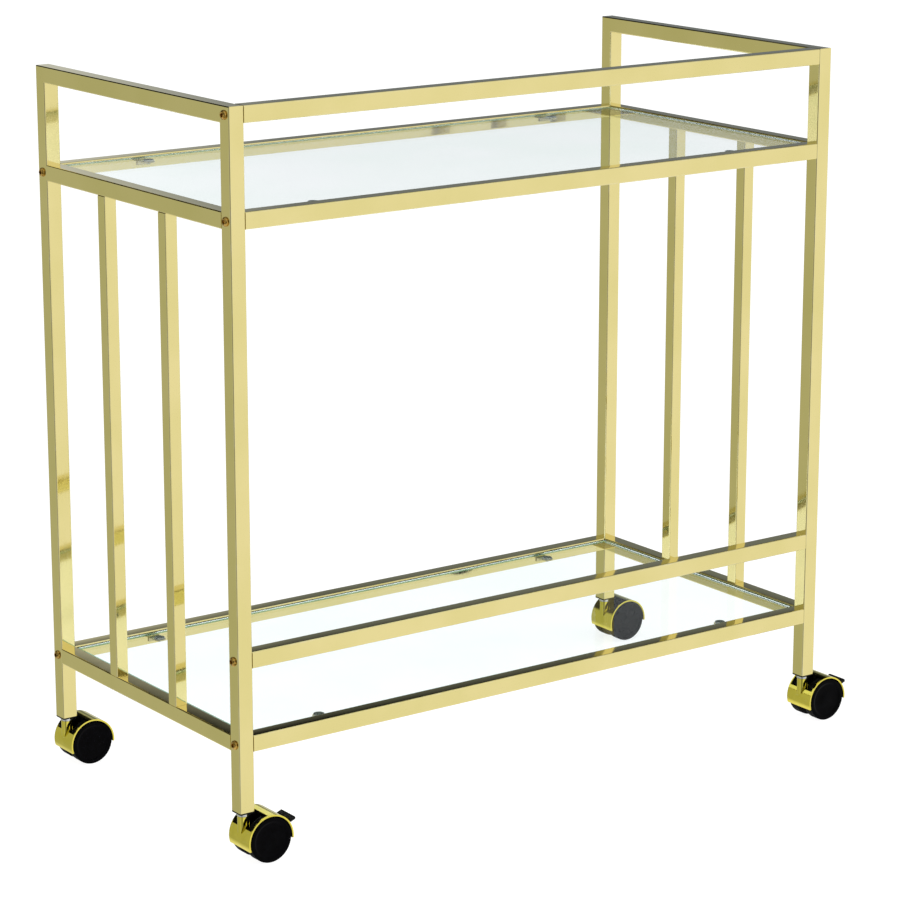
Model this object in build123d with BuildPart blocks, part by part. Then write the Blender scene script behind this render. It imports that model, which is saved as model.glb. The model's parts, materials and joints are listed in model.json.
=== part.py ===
from build123d import *
import os
from math import cos, radians, sin

# Bar cart on four hooded twin-wheel casters, in millimetres.
# X runs along the cart, Y across it (the front is -Y) and Z is up.
# The origin is on the floor, under the middle of the frame.

# ---- overall sizes -------------------------------------------------------
frame_length = 800.0        # over the outer faces of the side frames, along X
frame_depth = 394.0         # over the outer faces of the posts, along Y
frame_height = 741.0        # foot of the posts to the top rails

# ---- rail heights --------------------------------------------------------
upper_shelf_drop = 107.0    # top rails down to the top of the upper shelf rails
lower_shelf_rise = 83.0     # foot of the posts to the top of the lower shelf rails
guard_rise = 174.0          # foot of the posts to the top of the front guard rail

# ---- tubes ---------------------------------------------------------------
tube_side = 18.0
tube_wall = 1.2
tube_corner = 1.8
slat_side = 15.0
slat_wall = 1.0
slat_corner = 1.6

# ---- bolts and the threaded blocks inside the long rails -------------------
bolt_radius = 3.0
bolt_length = 30.0
bolt_head_radius = 5.0
bolt_head_height = 3.2
bolt_socket_across = 4.0
bolt_socket_depth = 2.0
bolt_hole_clearance = 0.3
thread_clearance = 0.05
block_length = 16.0

# ---- glass shelves, their tabs and pads ------------------------------------
glass_thickness = 5.0
glass_gap = 1.5             # glass edge to the rails all round
glass_drop = 1.5            # glass top below the top of the rails
glass_corner = 3.0
glass_bevel = 0.8
pad_radius = 6.0
pad_thickness = 1.6
pad_stem_radius = 2.2
pad_stem_length = 3.6
pad_stem_clearance = 0.1
tab_offset_x = 280.0        # middle of the cart to each tab
tab_width = 14.0
tab_thickness = 1.5
tab_reach = 14.0            # rail face to the middle of the pad
tab_flange_height = 6.0

# ---- post plugs and swivel stems --------------------------------------------
plug_flange = 1.5
plug_depth = 22.0
stem_radius = 4.0
stem_top_length = 19.0      # stem inside the plug
stem_fit = 0.05
collar_radius = 7.0
collar_height = 3.4
swivel_gap = 0.5            # collar to the top of the hood's boss
pivot_length = 24.0         # stem below the collar
clip_groove_depth = 0.7
clip_height = 1.0
clip_rise = 1.8             # foot of the stem to the middle of its clip
clip_lip = 0.5              # outer edge of the clip beyond the stem
clip_gap = 0.25

# ---- casters ------------------------------------------------------------
wheel_radius = 25.0
caster_width = 40.0         # over both wheels, along the axle
caster_trail = 22.0         # swivel axis to axle
wheel_inner_face = 7.0      # middle of the caster to a wheel's inner face
wheel_recess = 0.3          # wheel's outer face inside the hood's edge
wheel_corner = 1.2
wheel_dish = 0.7
wheel_rim = 4.5             # width of the raised rim round the dished face
wheel_core_inner = 9.0
wheel_tread = 5.0           # solid rim outside the cored ring
wheel_wall = 4.0
axle_radius = 3.0
axle_half_length = 15.5
axle_clearance = 0.06
axle_end_gap = 0.6
hood_gap = 1.1              # tread to the inside of the hood
hood_wall = 1.7
headroom = 4.2              # top of the hood to the foot of the posts
hood_leading_angle = 197.0  # from the trailing side, anticlockwise seen from the front
hood_trailing_angle = -6.0
window_start_angle = 97.0
window_end_angle = 150.0
hood_rim = 1.6
web_thickness = 6.0
web_pocket_radius = 17.0
hub_radius = 8.0
hub_half_length = 6.4
boss_radius = 6.4
boss_rib_drop = 4.6         # top of the boss to the wide end of its rib
boss_rib_length = 13.6      # down to where the rib ends on the hood
boss_rib_foot = 3.2         # half width of the rib at its narrow end

# ---- brake levers of the two front casters -----------------------------------
lever_pivot_radius = 17.4   # axle to the lever's pin
lever_pivot_angle = 27.3    # rise of the pin behind the axle
lever_angle = 23.0          # rise of the lever at rest
lever_travel = 18.0         # downward swing when it is pressed
lever_arm_half_width = 2.0
lever_arm_half_height = 1.9
lever_eye_radius = 4.0
lever_side_gap = 0.4
lever_pin_radius = 1.5
lever_pin_fit = 0.05
fork_radius = 6.2
pedal_gap = 2.8             # hood to the pedal's inner edge
pedal_length = 7.4
pedal_width = 25.0
pedal_thickness = 3.8

# ---- places worked out from the sizes above ------------------------------------
left, right = -1, 1
front, back = -1, 1
shell_radius = wheel_radius + hood_gap
hood_radius = shell_radius + hood_wall
axle_z = wheel_radius
post_foot = axle_z + hood_radius + headroom
frame_top = post_foot + frame_height
post_centre_x = (frame_length - tube_side) / 2
post_centre_y = (frame_depth - tube_side) / 2
inner_length = frame_length - 2 * tube_side
inner_depth = frame_depth - 2 * tube_side
top_rail_z = frame_top - tube_side / 2
upper_rail_z = frame_top - upper_shelf_drop - tube_side / 2
lower_rail_z = post_foot + lower_shelf_rise - tube_side / 2
guard_rail_z = post_foot + guard_rise - tube_side / 2
slat_gap = (inner_depth - 2 * slat_side) / 3
slat_centre_y = (slat_gap + slat_side) / 2
cavity_side = tube_side - 2 * tube_wall
cavity_corner = tube_corner - tube_wall
boss_top = post_foot - plug_flange - collar_height - swivel_gap
stem_foot = post_foot - plug_flange - collar_height - pivot_length
clip_outer_radius = stem_radius + clip_lip
rib_top = boss_top - boss_rib_drop
lever_pivot_x = lever_pivot_radius * cos(radians(lever_pivot_angle))
lever_pivot_z = lever_pivot_radius * sin(radians(lever_pivot_angle))
pedal_start = hood_radius - lever_pivot_radius + pedal_gap
pedal_end = pedal_start + pedal_length

sides = {"left": left, "right": right}
ends = {"front": front, "back": back}
long_rails = {
    "front_top_rail": (front, top_rail_z),
    "front_upper_rail": (front, upper_rail_z),
    "front_guard_rail": (front, guard_rail_z),
    "front_lower_rail": (front, lower_rail_z),
    "back_upper_rail": (back, upper_rail_z),
    "back_lower_rail": (back, lower_rail_z),
}
shelves = {"upper": upper_rail_z, "lower": lower_rail_z}

os.makedirs("parts", exist_ok=True)


def save(piece, name):
    """Labels a finished piece and writes it as parts/name.step."""
    piece.part.label = name
    export_step(piece.part, f"parts/{name}.step")


def tube_section(side, wall, corner):
    """Square tube section with rounded corners, added to the sketch in progress."""
    RectangleRounded(side, side, corner)
    RectangleRounded(side - 2 * wall, side - 2 * wall, corner - wall, mode=Mode.SUBTRACT)


def mitre_plane(end):
    """45 degree joint between a post and a top side rail; its normal points to the rail."""
    return Plane(origin=(0, end * frame_depth / 2, frame_top), x_dir=(1, 0, 0), z_dir=(0, -end, 1))


def outer_face(side):
    """Outer face of one side frame, with local x along Y and local y along Z."""
    origin = (side * frame_length / 2, 0, 0)
    return Plane(origin=origin, x_dir=(0, side, 0), z_dir=(side, 0, 0))


def bolt_heights(end):
    """Heights of the bolts in one post: one for each long rail on that side of the cart."""
    return [height for rail_end, height in long_rails.values() if rail_end == end]


def bolt_holes(side, places):
    """Outlines of the bolt holes in a side frame's outer face, at the given (y, z) places."""
    with BuildSketch(outer_face(side)) as holes:
        with Locations(*[(side * y, z) for y, z in places]):
            Circle(bolt_radius + bolt_hole_clearance)
    return holes.sketch


# ==== side frames =========================================================

def build_post(name, side, end):
    """Corner post, mitred at the top and drilled for the long rails' bolts."""
    post_y = end * post_centre_y
    with BuildPart() as post:
        with BuildSketch(Plane.XY.offset(post_foot)):
            with Locations((side * post_centre_x, post_y)):
                tube_section(tube_side, tube_wall, tube_corner)
        extrude(amount=frame_height)
        split(bisect_by=mitre_plane(end), keep=Keep.BOTTOM)
        holes = bolt_holes(side, [(post_y, height) for height in bolt_heights(end)])
        extrude(holes, amount=-tube_side, mode=Mode.SUBTRACT)
    save(post, name)


def build_top_side_rail(name, side):
    """Top rail of a side frame, mitred into both posts; the top bolt passes the front joint."""
    with BuildPart() as rail:
        with BuildSketch(Plane.XZ):
            with Locations((side * post_centre_x, top_rail_z)):
                tube_section(tube_side, tube_wall, tube_corner)
        extrude(amount=frame_depth / 2, both=True)
        split(bisect_by=mitre_plane(front), keep=Keep.TOP)
        split(bisect_by=mitre_plane(back), keep=Keep.TOP)
        holes = bolt_holes(side, [(front * post_centre_y, top_rail_z)])
        extrude(holes, amount=-tube_side, mode=Mode.SUBTRACT)
    save(rail, name)


def build_side_rail(name, side, height):
    """Side rail welded between the front and back posts."""
    with BuildPart() as rail:
        with BuildSketch(Plane.XZ):
            with Locations((side * post_centre_x, height)):
                tube_section(tube_side, tube_wall, tube_corner)
        extrude(amount=inner_depth / 2, both=True)
    save(rail, name)


def build_slat(name, side, end):
    """Thin upright between the two side rails, flush with the frame's outer face."""
    slat_x = side * (frame_length - slat_side) / 2
    slat_foot = lower_rail_z + tube_side / 2
    slat_head = upper_rail_z - tube_side / 2
    with BuildPart() as slat:
        with BuildSketch(Plane.XY.offset(slat_foot)):
            with Locations((slat_x, end * slat_centre_y)):
                tube_section(slat_side, slat_wall, slat_corner)
        extrude(amount=slat_head - slat_foot)
    save(slat, name)


for side_name, side in sides.items():
    build_top_side_rail(f"{side_name}_top_rail", side)
    build_side_rail(f"{side_name}_upper_rail", side, upper_rail_z)
    build_side_rail(f"{side_name}_lower_rail", side, lower_rail_z)
    for end_name, end in ends.items():
        build_post(f"{side_name}_{end_name}_post", side, end)
        build_slat(f"{side_name}_{end_name}_slat", side, end)


# ==== long rails, their threaded blocks and bolts ===============================

def build_long_rail(name, end, height):
    """Long rail between the side frames."""
    with BuildPart() as rail:
        with BuildSketch(Plane.YZ):
            with Locations((end * post_centre_y, height)):
                tube_section(tube_side, tube_wall, tube_corner)
        extrude(amount=inner_length / 2, both=True)
    save(rail, name)


for name, (end, height) in long_rails.items():
    build_long_rail(name, end, height)

rail_places = [(end * post_centre_y, height) for end, height in long_rails.values()]

with BuildPart() as thread_blocks:
    for side in sides.values():
        with BuildSketch(Plane.YZ.offset(side * inner_length / 2)):
            with Locations(*rail_places):
                RectangleRounded(cavity_side, cavity_side, cavity_corner)
                Circle(bolt_radius + thread_clearance, mode=Mode.SUBTRACT)
        extrude(amount=-side * block_length)
save(thread_blocks, "rail_thread_blocks")

with BuildPart() as one_bolt:
    with BuildSketch(Plane.XZ):
        with BuildLine():
            crown = Line((0, bolt_head_height), (bolt_head_radius * 0.45, bolt_head_height))
            rim = ThreePointArc(
                crown @ 1,
                (bolt_head_radius * 0.86, bolt_head_height * 0.62),
                (bolt_head_radius, 0),
            )
            Polyline(rim @ 1, (bolt_radius, 0), (bolt_radius, -bolt_length), (0, -bolt_length), crown @ 0)
        make_face()
    revolve(axis=Axis.Z)
    with BuildSketch(Plane.XY.offset(bolt_head_height)):
        RegularPolygon(bolt_socket_across / 2, 6, major_radius=False)
    extrude(amount=-bolt_socket_depth, mode=Mode.SUBTRACT)

with BuildPart() as frame_bolts:
    for side in sides.values():
        for y, z in rail_places:
            seat = Plane(origin=(side * frame_length / 2, y, z), z_dir=(side, 0, 0))
            with Locations(seat):
                add(one_bolt.part)
save(frame_bolts, "frame_bolts")


# ==== glass shelves =========================================================

def build_shelf(shelf_name, rail_z):
    """One glass shelf with the metal tabs and clear pads that carry it."""
    glass_top = rail_z + tube_side / 2 - glass_drop
    glass_foot = glass_top - glass_thickness
    tab_top = glass_foot - pad_thickness
    tab_xs = (-tab_offset_x, tab_offset_x)
    pad_places = [
        (x, end * (inner_depth / 2 - tab_reach)) for x in tab_xs for end in ends.values()
    ]

    with BuildPart() as glass:
        with BuildSketch(Plane.XY.offset(glass_foot)):
            RectangleRounded(inner_length - 2 * glass_gap, inner_depth - 2 * glass_gap, glass_corner)
        extrude(amount=glass_thickness)
        chamfer(glass.edges().group_by(Axis.Z)[-1], glass_bevel)
        chamfer(glass.edges().group_by(Axis.Z)[0], glass_bevel)
    save(glass, f"{shelf_name}_glass")

    with BuildPart() as tabs:
        for end in ends.values():
            face_y = end * inner_depth / 2
            with BuildSketch(Plane.XY.offset(tab_top)):
                with Locations(*[place for place in pad_places if place[1] * end > 0]):
                    Circle(tab_width / 2)
                    with Locations((0, end * tab_reach / 2)):
                        Rectangle(tab_width, tab_reach)
                    Circle(pad_stem_radius + pad_stem_clearance, mode=Mode.SUBTRACT)
            extrude(amount=-tab_thickness)
            with BuildSketch(Plane.XZ.offset(-face_y)):
                with Locations(*[(x, tab_top - tab_flange_height / 2) for x in tab_xs]):
                    Rectangle(tab_width, tab_flange_height)
            extrude(amount=end * tab_thickness)
    save(tabs, f"{shelf_name}_shelf_tabs")

    with BuildPart() as pads:
        with BuildSketch(Plane.XY.offset(tab_top)):
            with Locations(*pad_places):
                Circle(pad_radius)
        extrude(amount=pad_thickness)
        with BuildSketch(Plane.XY.offset(tab_top)):
            with Locations(*pad_places):
                Circle(pad_stem_radius)
        extrude(amount=-pad_stem_length)
    save(pads, f"{shelf_name}_glass_pads")


for shelf_name, rail_z in shelves.items():
    build_shelf(shelf_name, rail_z)


# ==== post plugs and swivel stems ===============================================

def build_plug(name, post_x, post_y):
    """Plastic plug in the foot of a post, bored for the caster's stem."""
    with BuildPart() as plug:
        with BuildSketch(Plane.XY.offset(post_foot)):
            with Locations((post_x, post_y)):
                RectangleRounded(tube_side, tube_side, tube_corner)
        extrude(amount=-plug_flange)
        with BuildSketch(Plane.XY.offset(post_foot)):
            with Locations((post_x, post_y)):
                RectangleRounded(cavity_side, cavity_side, cavity_corner)
        extrude(amount=plug_depth)
        with BuildSketch(Plane.XY.offset(post_foot - plug_flange)):
            with Locations((post_x, post_y)):
                Circle(stem_radius + stem_fit)
        extrude(amount=plug_flange + plug_depth, mode=Mode.SUBTRACT)
    save(plug, name)


def build_stem(name, post_x, post_y):
    """Turned stem: shank in the plug, collar under it and swivel pin with a clip groove."""
    collar_top = post_foot - plug_flange
    clip_z = stem_foot + clip_rise
    with BuildPart() as stem:
        with BuildSketch(Plane.XY.offset(stem_foot)):
            with Locations((post_x, post_y)):
                Circle(stem_radius)
        extrude(amount=collar_top + stem_top_length - stem_foot)
        chamfer(stem.edges().group_by(Axis.Z)[0], stem_radius / 6)
        chamfer(stem.edges().group_by(Axis.Z)[-1], stem_radius / 6)
        with BuildSketch(Plane.XY.offset(collar_top)):
            with Locations((post_x, post_y)):
                Circle(collar_radius)
        extrude(amount=-collar_height)
        with BuildSketch(Plane.XY.offset(clip_z - clip_height / 2)):
            with Locations((post_x, post_y)):
                Circle(stem_radius + 1)
                Circle(stem_radius - clip_groove_depth, mode=Mode.SUBTRACT)
        extrude(amount=clip_height, mode=Mode.SUBTRACT)
    save(stem, name)


caster_places = {
    f"{side_name}_{end_name}": (side * post_centre_x, end * post_centre_y)
    for side_name, side in sides.items() for end_name, end in ends.items()
}
braked_casters = ("left_front", "right_front")

for place_name, (post_x, post_y) in caster_places.items():
    build_plug(f"{place_name}_plug", post_x, post_y)
    build_stem(f"{place_name}_stem", post_x, post_y)

with BuildPart() as stem_clips:
    with BuildSketch(Plane.XY.offset(stem_foot + clip_rise - clip_height / 2)):
        with Locations(*caster_places.values()):
            Circle(clip_outer_radius)
            Circle(stem_radius - clip_groove_depth, mode=Mode.SUBTRACT)
            with Locations((clip_outer_radius, 0)):
                Rectangle(clip_outer_radius, stem_radius, mode=Mode.SUBTRACT)
    extrude(amount=clip_height)
save(stem_clips, "stem_clips")


# ==== casters =============================================================

def caster_plane(post_x, post_y):
    """Upright plane through the middle of a caster, with its origin on the axle."""
    return Plane(origin=(post_x + caster_trail, post_y, axle_z), x_dir=(1, 0, 0), z_dir=(0, -1, 0))


def ring_sector(inner_radius, outer_radius, start_angle, end_angle, mode=Mode.ADD):
    """Part of a ring about the axle, drawn in the sketch in progress."""
    with BuildLine() as outline:
        outer = CenterArc((0, 0), outer_radius, start_angle, end_angle - start_angle)
        inner = CenterArc((0, 0), inner_radius, start_angle, end_angle - start_angle)
        Line(outer @ 0, inner @ 0)
        Line(outer @ 1, inner @ 1)
    make_face(outline.edges(), mode=mode)


def lever_point(distance, angle):
    """Point at a distance from the lever's pivot, in the caster's plane."""
    x = lever_pivot_x + distance * cos(radians(angle))
    return (x, lever_pivot_z + distance * sin(radians(angle)))


def build_boss(post_x, post_y):
    """Upright boss for the stem; outside the shell it narrows to a tapered rib."""
    plane = caster_plane(post_x, post_y)
    reach = 2 * boss_radius
    with BuildPart() as rib:
        with BuildSketch(Plane.YZ.offset(post_x)):
            with Locations((post_y, rib_top)):
                Polygon(
                    (-boss_radius, 0),
                    (boss_radius, 0),
                    (boss_rib_foot, -boss_rib_length),
                    (-boss_rib_foot, -boss_rib_length),
                    align=None,
                )
        extrude(amount=-reach)
    with BuildPart() as trimming:
        with BuildSketch(plane):
            with Locations((-caster_trail - boss_radius, 0)):
                Rectangle(reach, 2 * (rib_top - axle_z))
            Circle(hood_radius, mode=Mode.SUBTRACT)
        extrude(amount=boss_radius, both=True)
        add(rib.part, mode=Mode.SUBTRACT)
    with BuildPart() as boss:
        with BuildSketch(Plane.XY.offset(boss_top)):
            with Locations((post_x, post_y)):
                Circle(boss_radius)
        extrude(amount=stem_foot - 2 * hood_wall - boss_top)
        add(trimming.part, mode=Mode.SUBTRACT)
    return boss.part


def build_hood(name, post_x, post_y, has_brake):
    """Hood over both wheels with its web, axle hub, stem boss and, if braked, lever fork."""
    plane = caster_plane(post_x, post_y)
    boss = build_boss(post_x, post_y)
    lever_slot = lever_arm_half_width + lever_side_gap
    with BuildPart() as hood:
        with BuildSketch(plane):
            ring_sector(shell_radius, hood_radius, hood_trailing_angle, hood_leading_angle)
        extrude(amount=caster_width / 2, both=True)
        with BuildSketch(plane):
            ring_sector(shell_radius - 1, hood_radius + 1, window_start_angle, window_end_angle)
        extrude(amount=caster_width / 2 - hood_rim, both=True, mode=Mode.SUBTRACT)
        with BuildSketch(plane):
            with BuildLine():
                crown = CenterArc(
                    (0, 0), shell_radius + hood_wall / 2,
                    hood_trailing_angle, hood_leading_angle - hood_trailing_angle,
                )
                Line(crown @ 1, crown @ 0)
            make_face()
            ring_sector(
                web_pocket_radius, hood_radius + 1, window_start_angle, window_end_angle,
                mode=Mode.SUBTRACT,
            )
        extrude(amount=web_thickness / 2, both=True)
        with BuildSketch(plane):
            Circle(hub_radius)
        extrude(amount=hub_half_length, both=True)
        add(boss)
        if has_brake:
            with BuildSketch(plane):
                with Locations((lever_pivot_x, lever_pivot_z)):
                    Circle(fork_radius)
            extrude(amount=hub_half_length, both=True)
            with BuildSketch(plane):
                Polygon(
                    lever_point(0, 0),
                    lever_point(pedal_end, lever_angle),
                    lever_point(pedal_end, lever_angle - lever_travel),
                    align=None,
                )
                offset(amount=lever_arm_half_height + lever_side_gap)
                with Locations((lever_pivot_x, lever_pivot_z)):
                    Circle(lever_eye_radius + lever_side_gap)
            extrude(amount=lever_slot, both=True, mode=Mode.SUBTRACT)
            with BuildSketch(plane):
                with Locations((lever_pivot_x, lever_pivot_z)):
                    Circle(lever_pin_radius)
            extrude(amount=hub_half_length, both=True, mode=Mode.SUBTRACT)
        with BuildSketch(plane):
            Circle(axle_radius)
        extrude(amount=hub_half_length, both=True, mode=Mode.SUBTRACT)
        with BuildSketch(Plane.XY.offset(boss_top)):
            with Locations((post_x, post_y)):
                Circle(stem_radius + stem_fit)
        extrude(amount=stem_foot - hood_wall - boss_top, mode=Mode.SUBTRACT)
        with BuildSketch(Plane.XY.offset(stem_foot + clip_rise - clip_height / 2 - clip_gap)):
            with Locations((post_x, post_y)):
                Circle(clip_outer_radius + clip_gap)
        extrude(amount=clip_height + 2 * clip_gap, mode=Mode.SUBTRACT)
    save(hood, name)


def build_axle(name, post_x, post_y):
    """Steel axle pressed through the hood's hub."""
    with BuildPart() as axle:
        with BuildSketch(caster_plane(post_x, post_y)):
            Circle(axle_radius)
        extrude(amount=axle_half_length, both=True)
        chamfer(axle.edges().filter_by(GeomType.CIRCLE), axle_radius / 6)
    save(axle, name)


def build_wheel(name, post_x, post_y, end):
    """One wheel: plain dished outer face, cored inner face and blind bore for the axle."""
    outer_y = caster_width / 2 - wheel_recess
    bore_end = axle_half_length + axle_end_gap
    bore_radius = axle_radius + axle_clearance
    face_radius = wheel_radius - wheel_rim
    core_radius = wheel_radius - wheel_tread
    axle_point = (post_x + caster_trail, post_y, axle_z)
    with BuildPart() as wheel:
        with BuildSketch(Plane(origin=axle_point)):
            with BuildLine():
                Polyline(
                    (0, end * bore_end),
                    (0, end * (outer_y - wheel_dish)),
                    (face_radius - wheel_corner, end * (outer_y - wheel_dish)),
                    (face_radius, end * outer_y),
                    (wheel_radius - wheel_corner, end * outer_y),
                    (wheel_radius, end * (outer_y - wheel_corner)),
                    (wheel_radius, end * (wheel_inner_face + wheel_corner)),
                    (wheel_radius - wheel_corner, end * wheel_inner_face),
                    (core_radius, end * wheel_inner_face),
                    (core_radius, end * (outer_y - wheel_wall)),
                    (wheel_core_inner, end * (outer_y - wheel_wall)),
                    (wheel_core_inner, end * wheel_inner_face),
                    (bore_radius, end * wheel_inner_face),
                    (bore_radius, end * bore_end),
                    close=True,
                )
            make_face()
        revolve(axis=Axis(axle_point, (0, 1, 0)))
    save(wheel, name)


def build_brake_lever(name, post_x, post_y):
    """Brake lever: eye on the pin, arm through the hood's slot and broad pedal outside."""
    plane = caster_plane(post_x, post_y)
    with BuildPart() as lever:
        with BuildSketch(plane):
            with Locations(Location(lever_point(pedal_start / 2, lever_angle), lever_angle)):
                SlotCenterToCenter(pedal_start, 2 * lever_arm_half_height)
            with Locations((lever_pivot_x, lever_pivot_z)):
                Circle(lever_eye_radius)
                Circle(lever_pin_radius + lever_pin_fit, mode=Mode.SUBTRACT)
        extrude(amount=lever_arm_half_width, both=True)
        with BuildSketch(plane):
            with Locations(Location(lever_point((pedal_start + pedal_end) / 2, lever_angle), lever_angle)):
                RectangleRounded(pedal_end - pedal_start, pedal_thickness, pedal_thickness / 3)
        extrude(amount=pedal_width / 2, both=True)
    save(lever, name)


def build_brake_pin(name, post_x, post_y):
    """Steel pin that the brake lever turns on."""
    with BuildPart() as pin:
        with BuildSketch(caster_plane(post_x, post_y)):
            with Locations((lever_pivot_x, lever_pivot_z)):
                Circle(lever_pin_radius)
        extrude(amount=hub_half_length, both=True)
    save(pin, name)


for place_name, place in caster_places.items():
    build_hood(f"{place_name}_hood", *place, has_brake=place_name in braked_casters)
    build_axle(f"{place_name}_axle", *place)
    for end_name, end in ends.items():
        build_wheel(f"{place_name}_{end_name}_wheel", *place, end)

for place_name in braked_casters:
    build_brake_lever(f"{place_name}_brake_lever", *caster_places[place_name])
    build_brake_pin(f"{place_name}_brake_pin", *caster_places[place_name])
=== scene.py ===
# %% [markdown]
# # A gold bar cart, piece by piece
# The cart is a frame of square steel tube plated in pale champagne gold, with two clear glass
# shelves and four gold-plated twin-wheel casters. Its sizes and its motion were settled in CAD,
# so this file only gives it its looks. It loads the finished frame, reads each piece's place
# from its box, and builds a finer piece there, or gives the CAD piece a real material.

# %% Load the frame
import json
import math

import bmesh
import bpy
from mathutils import Matrix, Vector


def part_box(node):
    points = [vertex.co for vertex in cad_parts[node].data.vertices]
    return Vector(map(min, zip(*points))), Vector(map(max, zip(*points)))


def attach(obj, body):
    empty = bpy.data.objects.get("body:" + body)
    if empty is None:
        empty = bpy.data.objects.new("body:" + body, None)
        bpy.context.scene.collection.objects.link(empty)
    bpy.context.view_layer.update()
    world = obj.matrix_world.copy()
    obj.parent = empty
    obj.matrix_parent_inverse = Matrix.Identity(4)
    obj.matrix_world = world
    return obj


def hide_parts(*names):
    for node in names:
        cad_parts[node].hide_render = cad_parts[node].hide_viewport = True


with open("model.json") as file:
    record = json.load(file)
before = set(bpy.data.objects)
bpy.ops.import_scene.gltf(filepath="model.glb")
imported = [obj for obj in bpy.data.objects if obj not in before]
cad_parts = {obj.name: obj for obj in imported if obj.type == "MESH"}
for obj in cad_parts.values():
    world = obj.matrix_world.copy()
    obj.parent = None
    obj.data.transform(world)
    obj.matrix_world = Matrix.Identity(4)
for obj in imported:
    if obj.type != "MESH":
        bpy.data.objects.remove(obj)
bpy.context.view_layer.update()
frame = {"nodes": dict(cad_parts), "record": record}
nodes = frame["nodes"]
scene = bpy.context.scene
MM = 0.001

# %% [markdown]
# ## Colours and shader nodes
# Colours are easiest to pick as the hex values of a paint chart, but a renderer works in linear
# light, so one function converts them. A second function adds a node with its settings and
# links in one call. It serves shader trees and Geometry Nodes trees alike, which keeps every
# tree below short enough to read from top to bottom.

# %% Helpers for node trees


def linear(hex_colour):
    """An sRGB hex colour as the linear values that a shader works in."""
    values = [int(hex_colour[i:i + 2], 16) / 255 for i in (1, 3, 5)]
    toe = [v / 12.92 if v <= 0.04045 else ((v + 0.055) / 1.055) ** 2.4 for v in values]
    return (*toe, 1.0)


def add_node(tree, kind, settings=None, **inputs):
    """Adds a node; an input is a plain value or the output socket that feeds it.
    An input is called by its name, or by _ and its number where names repeat."""
    node = tree.nodes.new(kind)
    for name, value in (settings or {}).items():
        setattr(node, name, value)
    for name, value in inputs.items():
        key = int(name[1:]) if name[0] == "_" else name.replace("_", " ")
        socket = node.inputs[key]
        if isinstance(value, bpy.types.NodeSocket):
            tree.links.new(value, socket)
        else:
            socket.default_value = value
    return node


print("#808080 is", round(linear("#808080")[0], 3), "in linear light")

# %% [markdown]
# ## What every finish here has
# However different gold and nylon are, each finish on the cart varies in the same three ways,
# each at its own size: its tone drifts, its gloss breaks up, and its surface has a fine relief.
# So one function lays those three down from two tones, two roughnesses and three sizes in
# millimetres, and a finish that has something more adds it to the tree that it gets back.

# %% Helper that lays down a finish


def finish(name, tones, tone_mm, gloss, gloss_mm, relief_mm, relief_depth_mm,
           drawn_out=(1, 1, 1), **shader_values):
    """A procedural finish. Tones are two hex colours and gloss two roughnesses; a pattern is
    about as large as its size in mm, and drawn_out stretches the gloss and relief patterns."""
    material = bpy.data.materials.new(name)
    material.use_nodes = True
    tree = material.node_tree
    shader = tree.nodes["Principled BSDF"]
    for socket, value in shader_values.items():
        shader.inputs[socket.replace("_", " ")].default_value = value
    place = add_node(tree, "ShaderNodeTexCoord").outputs["Object"]
    drawn = add_node(tree, "ShaderNodeMapping", Vector=place, Scale=drawn_out).outputs[0]
    drift = add_node(tree, "ShaderNodeTexNoise", Vector=place, Scale=1 / (tone_mm * MM),
                     Detail=3.0)
    drift = add_node(tree, "ShaderNodeMapRange", _0=drift.outputs[0], _1=0.35, _2=0.65)
    tone = add_node(tree, "ShaderNodeMix", {"data_type": "RGBA"}, _0=drift.outputs[0],
                    _6=linear(tones[0]), _7=linear(tones[1]))
    tone.label = "tone"
    tree.links.new(tone.outputs[2], shader.inputs["Base Color"])
    breakup = add_node(tree, "ShaderNodeTexNoise", Vector=drawn, Scale=1 / (gloss_mm * MM),
                       Detail=4.0)
    rough = add_node(tree, "ShaderNodeMapRange", _0=breakup.outputs[0], _1=0.35, _2=0.7,
                     _3=gloss[0], _4=gloss[1])
    rough.label = "gloss"
    tree.links.new(rough.outputs[0], shader.inputs["Roughness"])
    grain = add_node(tree, "ShaderNodeTexNoise", Vector=drawn, Scale=1 / (relief_mm * MM),
                     Detail=1.0)
    bump = add_node(tree, "ShaderNodeBump", Height=grain.outputs[0],
                    Distance=relief_depth_mm * MM, Strength=0.5)
    tree.links.new(bump.outputs[0], shader.inputs["Normal"])
    print("finish:", name)
    return material, tree, shader


# %% [markdown]
# ## The gold finish of the tubes
# The tubes are mild steel, polished and then electroplated in a pale champagne gold. Plating
# copies the polish under it, so the flats are nearly a mirror: almost all that the eye sees is
# the studio. What tells it from a perfect mirror is small. The tone drifts a little along a
# tube, the polishing wheel leaves slow waves some 40 mm long and fine hairlines that blur a
# reflection, and the rounded corners, where the wheel pressed hardest, are paler and duller in
# patches. The corners are marked by an attribute, "corner", that the tube's node tree writes.

# %% Gold-plated polished steel
# Hairlines are a few hundredths of a millimetre wide; they are drawn 0.8 mm wide so they show.
HAIRLINE_MM, POLISHING_WAVE_MM, RUBBED_PATCH_MM = 0.8, 40, 14
gold, tree, shader = finish("gold_plated_polished_steel", ("#e8db9d", "#e2d694"), 90,
                            (0.03, 0.09), HAIRLINE_MM, POLISHING_WAVE_MM, 0.09, (1, 1, 0.05),
                            Metallic=1.0)
corner = add_node(tree, "ShaderNodeAttribute", {"attribute_name": "corner"}).outputs["Fac"]
place = add_node(tree, "ShaderNodeTexCoord").outputs["Object"]
patches = add_node(tree, "ShaderNodeTexNoise", Vector=place, Scale=1 / (RUBBED_PATCH_MM * MM),
                   Detail=5.0)
patches = add_node(tree, "ShaderNodeMapRange", _0=patches.outputs[0], _1=0.45, _2=0.7,
                   _3=0.05, _4=0.5)
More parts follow.
